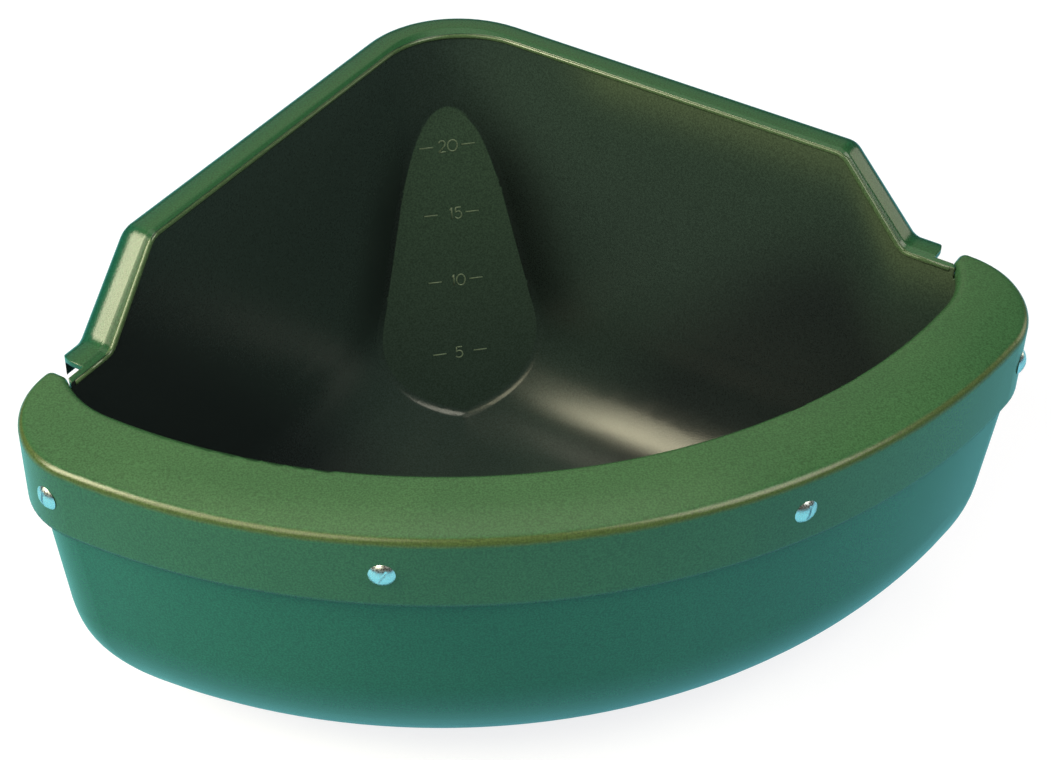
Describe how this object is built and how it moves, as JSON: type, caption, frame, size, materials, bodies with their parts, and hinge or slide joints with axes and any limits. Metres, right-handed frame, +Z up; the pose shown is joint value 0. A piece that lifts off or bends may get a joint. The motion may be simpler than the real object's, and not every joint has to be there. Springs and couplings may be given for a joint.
{
  "type": "corner manger",
  "caption": "Green moulded feed manger for a stall corner, with a litre scale on its back panel and a bolted front rim.",
  "frame": {"origin": "on the flat underside, at the middle of the overall length along X and width along Y", "axes": "+X to the right as seen by the animal in front, +Y towards the corner of the building, +Z up"},
  "size_m": [0.5576, 0.4221, 0.262],
  "materials": {
    "green_plastic": "satin",
    "zinc_steel": "zinc plated"
  },
  "bodies": {
    "root": {"manger_body": "green_plastic", "front_rim": "green_plastic", "left_corner_bolt": "zinc_steel", "left_corner_washer": "zinc_steel", "left_corner_nut": "zinc_steel", "left_front_bolt": "zinc_steel", "left_front_washer": "zinc_steel", "left_front_nut": "zinc_steel", "right_front_bolt": "zinc_steel", "right_front_washer": "zinc_steel", "right_front_nut": "zinc_steel", "right_corner_bolt": "zinc_steel", "right_corner_washer": "zinc_steel", "right_corner_nut": "zinc_steel"}
  },
  "joints": []
}
